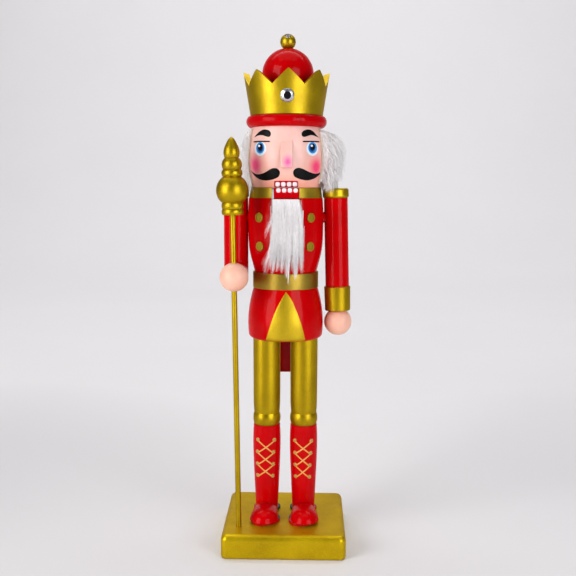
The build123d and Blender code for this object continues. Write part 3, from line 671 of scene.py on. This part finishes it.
moustache_right = smooth_loop([(27.4, 282.0), (25.8, 279.9), (24.0, 278.6), (21.3, 278.3), (18.1, 279.2),
                               (15.3, 280.4), (12.6, 281.7), (9.8, 282.3), (7.4, 281.5), (5.9, 279.3),
                               (6.7, 276.3), (9.2, 274.8), (12.1, 273.9), (15.8, 273.4), (19.5, 274.1),
                               (22.7, 275.7), (25.2, 278.0)], sharp=(0,))
for name, outline in (("brow_left", brow_left), ("brow_right", brow_right),
                      ("moustache_left", moustache_left), ("moustache_right", moustache_right)):
    paint_patch(name, outline, head_front, BLACK_PAINT, lift=0.3, soft=0.8, step=0.5)

for name, x, z in (("left", -17.85, 296.5), ("right", 19.7, 296.7)):
    paint_patch(f"eye_white_{name}", oval(x, z - 0.6, 4.35, 5.1), head_front, eye_white(x, z - 0.6),
                lift=0.06, soft=2)
    paint_patch(f"iris_{name}", oval(x, z, 3.15, 4.1), head_front, iris_paint(f"iris_{name}", x, z),
                base=0.09, lift=0.16, soft=0.6, step=0.4)
    paint_patch(f"pupil_{name}", oval(x + 0.1, z + 0.75, 1.75, 2.2), head_front, PUPIL, base=0.19, lift=0.24)
    paint_patch(f"glint_{name}", oval(x - 0.7, z + 1.4, 0.75, 0.8, 20), head_front, WHITE, base=0.27,
                lift=0.32, soft=0.3, step=0.3)
lids = bmesh.new()
paint_stroke(lids, [(-23.0, 301.05), (-19.0, 301.1), (-10.6, 300.9)], 0.95, head_front, base=0.2)
paint_stroke(lids, [(12.5, 300.9), (19.5, 301.2), (24.5, 301.35)], 0.95, head_front, base=0.2)
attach(mesh_object("eyelids", lids, [BLACK_PAINT]), FIGURE)

jaw_front = surface_of("jaw_lever")
paint_patch("mouth_panel", oval(0.85, 270.7, 8.65, 2.4, 60, 9), head_front, LIP_RED, lift=0.1)
paint_patch("jaw_panel", oval(1.15, 264.1, 8.7, 3.6, 60, 12), jaw_front, JAW_RED, "jaw_lever", lift=0.08)
for k in range(4):
    paint_patch(f"tooth_upper_{k}", oval(-5.25 + 4.15 * k, 270.5, 1.62, 1.68, 32, 2.8), head_front, TOOTH,
                base=0.1, lift=0.55, soft=0.9, step=0.35)
    paint_patch(f"tooth_lower_{k}", oval(-4.6 + 4.13 * k, 266.2, 1.58, 1.6, 32, 2.8), jaw_front, TOOTH,
                "jaw_lever", base=0.1, lift=0.55, soft=0.9, step=0.35)


# ---------------------------------------------------------------- skirt panel, laces and eyelets

skirt_front = surface_of("skirt")
panel = smooth_loop([(0.9, 192.5), (5.1, 186.7), (8.0, 180.3), (11.1, 172.4), (13.6, 163.8), (15.2, 156.6),
                     (8.0, 155.9), (0.7, 155.8), (-6.5, 155.9), (-13.8, 156.6), (-11.7, 163.8), (-9.1, 172.0),
                     (-5.8, 180.3), (-2.2, 187.3)], sharp=(0, 5, 9))
paint_patch("skirt_panel", panel, skirt_front, GOLD_PANEL, lift=0.1, soft=0.6, step=0.8)

eyelet_heights = (76.7, 67.2, 57.6, 48.3)
for name, drop, left, right in (("left", 0.5, (7.6, 7.8, 8.0, 8.3), (20.3, 19.7, 19.1, 18.9)),
                                ("right", 0.0, (-20.6, -20.9, -20.9, -20.8), (-8.0, -8.6, -8.8, -9.2))):
    boot = surface_of(f"boot_{name}")
    laces, eyelets = bmesh.new(), bmesh.new()
    for k in range(3):
        for a, b in ((left[k], right[k + 1]), (right[k], left[k + 1])):
            top, low = eyelet_heights[k] - drop - 0.6, eyelet_heights[k + 1] - drop - 0.8
            sag = (a + b) / 2 + 0.1
            paint_stroke(laces, [(a, top), (sag, (top + low) / 2), (b, low)], 1.0, boot, lift=0.28,
                         base=0.05 if a < b else 0.12)
    for k in range(4):
        for x in (left[k], right[k]):
            ring = [(x + 0.75 * math.cos(t / 2), eyelet_heights[k] - drop + 0.85 * math.sin(t / 2))
                    for t in range(14)]
            paint_stroke(eyelets, ring, 1.5, boot, lift=0.42, base=0.04)
    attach(mesh_object(f"laces_{name}", laces, [LACE]), FIGURE)
    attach(mesh_object(f"eyelets_{name}", eyelets, [EYELET]), FIGURE)


# ---------------------------------------------------------------- rhinestones

def rhinestone(name, node, radius, rise, thick, lean, turn=0.0, sides=16):
    """Cut stone in place of a CAD stand-in that is thick millimetres deep.

    It faces lean degrees above level and turn degrees to the figure's left."""
    lean, turn = math.radians(lean), math.radians(turn)
    face = Vector((math.sin(turn) * math.cos(lean), -math.cos(turn) * math.cos(lean), math.sin(lean)))
    across = Vector((math.cos(turn), math.sin(turn), 0))
    upward = across.cross(face) * -1
    low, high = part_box(node)
    seat = (low + high) / 2 - face * thick / 2 * MM
    form = bmesh.new()
    rows = []
    for share, height, shift in ((1.0, 0.0, 0.0), (1.0, 0.25, 0.0), (0.80, 0.66, 0.5), (0.55, 1.0, 0.0)):
        row = []
        for k in range(sides):
            a = 2 * math.pi * (k + shift) / sides
            flat = across * math.cos(a) + upward * math.sin(a)
            row.append(form.verts.new(seat + (flat * radius * share + face * rise * height) * MM))
        rows.append(row)
    for k in range(sides):
        n = (k + 1) % sides
        form.faces.new((rows[0][k], rows[0][n], rows[1][n], rows[1][k]))
        form.faces.new((rows[1][k], rows[1][n], rows[2][k]))
        form.faces.new((rows[1][n], rows[2][n], rows[2][k]))
        form.faces.new((rows[2][k], rows[2][n], rows[3][n]))
        form.faces.new((rows[2][k], rows[3][n], rows[3][k]))
    form.faces.new(rows[0][::-1])
    # the table face takes the near-black painted reflection
    form.faces.new(rows[3]).material_index = 1
    bmesh.ops.recalc_face_normals(form, faces=form.faces)
    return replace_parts(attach(mesh_object(name, form, [FACET, TABLE_PAINTED_DARK]), FIGURE), node)


rhinestone("crown_stone", "crown_gem", 5.0, 1.9, 2.2, -9, 2.6)
rhinestone("bead_stone", "bead_gem", 2.3, 1.1, 1.2, 48, sides=10)


# ---------------------------------------------------------------- beard

def between(table, z):
    """Straight-line reading of (z, value, ...) rows sorted downwards."""
    if z >= table[0][0]:
        return table[0][1:]
    for high, low in zip(table, table[1:]):
        if z >= low[0]:
            t = (high[0] - z) / (high[0] - low[0])
            return [a + (b - a) * t for a, b in zip(high[1:], low[1:])]
    return table[-1][1:]


# (z, left edge, right edge) down the beard, and (share across it, tip z, pull) of each lock
BEARD_EDGES = ((259.9, -7.9, 10.0), (257.0, -8.0, 11.4), (251.0, -8.3, 13.3), (238.0, -8.5, 12.7),
               (231.0, -8.6, 13.0), (218.6, -9.9, 13.4), (208.0, -12.6, 13.2), (196.0, -13.8, 13.0))
BEARD_TIPS = ((0.05, 209.0, 0.9), (0.15, 206.0, 0.8), (0.27, 207.5, 0.6), (0.41, 206.5, 0.6),
              (0.55, 203.0, 0.75), (0.80, 201.5, 0.75), (0.97, 206.5, 0.7))


def beard_path(share, depth, clump, pull, tip_z):
    """Hair from the jaw's lip to its tip: share runs across the beard and depth from back to front."""
    root_z = random.choice((random.uniform(258.8, 259.9), random.uniform(236.0, 259.0)))
    root_z = max(root_z, tip_z + 12)
    points = []
    for t, near_y, deep in ((0.0, 24.1, 1.6), (0.45, 25.2, 3.0), (1.0, 25.0, 2.6)):
        z = root_z + (tip_z - root_z) * t
        left, right = between(BEARD_EDGES, z)
        gather = max(0.0, (t - 0.4) / 0.6) ** 1.6 * pull
        at = share + (clump - share) * gather
        points.append((left + (right - left) * at + random.gauss(0, 0.2), -near_y - deep * depth, z))
    return points


random.seed(4)
paths = []
for _ in range(5200):
    share, depth = random.random(), random.random() ** 0.7
    clump, tip, pull = min(BEARD_TIPS, key=lambda c: abs(c[0] - share) + random.uniform(0, 0.16))
    short = random.random() ** 0.6 * 30
    paths.append(beard_path(share, depth, clump + random.gauss(0, 0.02), pull * random.uniform(0.3, 1.0),
                            tip + short))
for clump, tip, pull in BEARD_TIPS:
    for _ in range(75):
        paths.append(beard_path(clump + random.gauss(0, 0.05), random.random(),
                                clump + random.gauss(0, 0.012), pull * random.uniform(0.7, 1.15),
                                tip + random.random() ** 1.5 * 12))
for _ in range(40):
    paths.append(beard_path(random.gauss(0.57, 0.02), 0.9, 0.61 + random.gauss(0, 0.008), 1.0,
                            198.2 + random.random() * 7))
beard = strands("beard_fur", paths, BEARD_FUR_SHADED, "beard", width=0.115)
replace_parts(beard, "beard")

paths = []
for _ in range(26):
    start, reach = random.uniform(0, 1), random.uniform(0.6, 1.15)
    paths.append(((-8.2 + random.gauss(0, 0.2), -26.0, 252 - 6 * start),
                  (-8.4 - 2.2 * reach, -27.0, 246 - 5 * start),
                  (-8.6 - 5.6 * reach + random.gauss(0, 0.5), -27.2,
                   240 - 8 * reach * start + random.gauss(0, 1.0))))
for _ in range(46):
    end_x = random.uniform(-17.0, -12.0)
    paths.append(((-8.6 + random.gauss(0, 0.3), -26.3, random.uniform(226, 240)),
                  (-9.6 + (end_x + 12.0) * 0.4, -26.8, random.uniform(217, 225)),
                  (end_x + random.gauss(0, 0.4), -26.2, random.uniform(205.5, 215.0))))
strands("beard_wisps", paths, BEARD_FUR_SHADED, "beard", width=0.06)

rings = []
for z in (259.2, 258.4, 255, 250, 244, 238, 232, 226, 220):
    left, right = between(BEARD_EDGES, z)
    full = 1 - 0.6 * max(0, (236 - z) / 16)
    middle_x, half = (left + right) / 2 + 0.3, (right - left) / 2 * (0.92 if z < 259 else 0.85) * full
    thick = min(0.9, 0.3 + (259.4 - z) * 0.4) * full
    rings.append([(middle_x + half * math.cos(a) + random.gauss(0, 0.1),
                   -24.6 - thick * math.sin(a) + random.gauss(0, 0.06), z)
                  for a in (2 * math.pi * k / 36 for k in range(36))])
grid_mesh("beard_pile", rings, BEARD_FUR_SHADED, "beard")


# ---------------------------------------------------------------- hair

# (z, radius) of the head's skin
HEAD_EDGE = ((312.0, 25.5), (302.0, 27.7), (292.5, 28.65), (285.0, 28.65), (276.0, 27.2), (268.2, 25.3))


def hair_spot(angle, off, z):
    """Point at an angle from the face, standing off the head's skin at a height, in millimetres."""
    radius = between(HEAD_EDGE, z)[0] + off
    return Vector((radius * math.sin(angle), 5 - radius * math.cos(angle), z))


def hair_puff(angle):
    """How far the fur stands out: flattened on the figure's right, teased out on its left."""
    left = max(0.0, math.sin(angle))
    right = max(0.0, -math.sin(angle))
    return 4.5 + 9.5 * left ** 2 - 1.5 * right ** 2


FRONT = math.radians(67)
HAIR_LOW, HAIR_HIGH, HAIR_END = 273, 310.3, 264.0
PILE_MIDDLE, PILE_HALF = 290.6, 18.6
paths = []
for _ in range(9000):
    angle = random.uniform(FRONT, 2 * math.pi - FRONT)
    edge = min(1, min(angle - FRONT, 2 * math.pi - FRONT - angle) / 0.25)
    root_z = random.uniform(HAIR_LOW, HAIR_HIGH)
    puff = hair_puff(angle) * random.uniform(0.3, 1.0)
    fall = min(random.uniform(9, 20), root_z - HAIR_END) * random.uniform(0.75, 1.0)
    drift = random.gauss(0, 0.08) + (-0.10 if angle < math.pi else 0.10) * random.random()
    low_z = root_z - fall
    tuck = 0.75 if low_z < 272 else 1.0
    paths.append((hair_spot(angle, random.uniform(0.5, 1.0 + 2.2 * edge), root_z),
                  hair_spot(angle + drift * 0.4, 1.2 + puff * 0.95, root_z - fall * 0.25),
                  hair_spot(angle + drift, 1.6 + 1.4 * edge + puff * tuck, low_z)))
hair = strands("hair_fur", paths, HAIR, FIGURE, width=0.17, rows=6)
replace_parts(hair, "hair")

rings = []
for k in range(61):
    angle = FRONT + 0.02 + (2 * math.pi - 2 * FRONT - 0.04) * k / 60
    out = 1.6 + 0.3 * hair_puff(angle)
    ring = []
    for j in range(24):
        a = 2 * math.pi * j / 24
        swell = out * (0.8 + 0.2 * math.sin(5 * angle + 2 * a)) if math.cos(a) > 0 else 0.6
        ring.append(hair_spot(angle, 1.0 + swell * math.cos(a) + random.gauss(0, 0.12),
                              PILE_MIDDLE + PILE_HALF * math.sin(a) + random.gauss(0, 0.2)))
    rings.append(ring)
grid_mesh("hair_pile", rings, HAIR, FIGURE)

BACKING_HEIGHTS = (271.0, 276, 281, 286, 293, 300, 306, 310.6)
for name, turn in (("left", 1), ("right", -1)):
    strip = [(0.9, z) for z in BACKING_HEIGHTS] + [(0.15, z) for z in BACKING_HEIGHTS[::-1]]
    rings = [[hair_spot(turn * (FRONT - 0.035 + 0.11 * k / 8), off, z) for off, z in strip] for k in range(9)]
    grid_mesh(f"hair_backing_{name}", rings, BACKING, FIGURE)
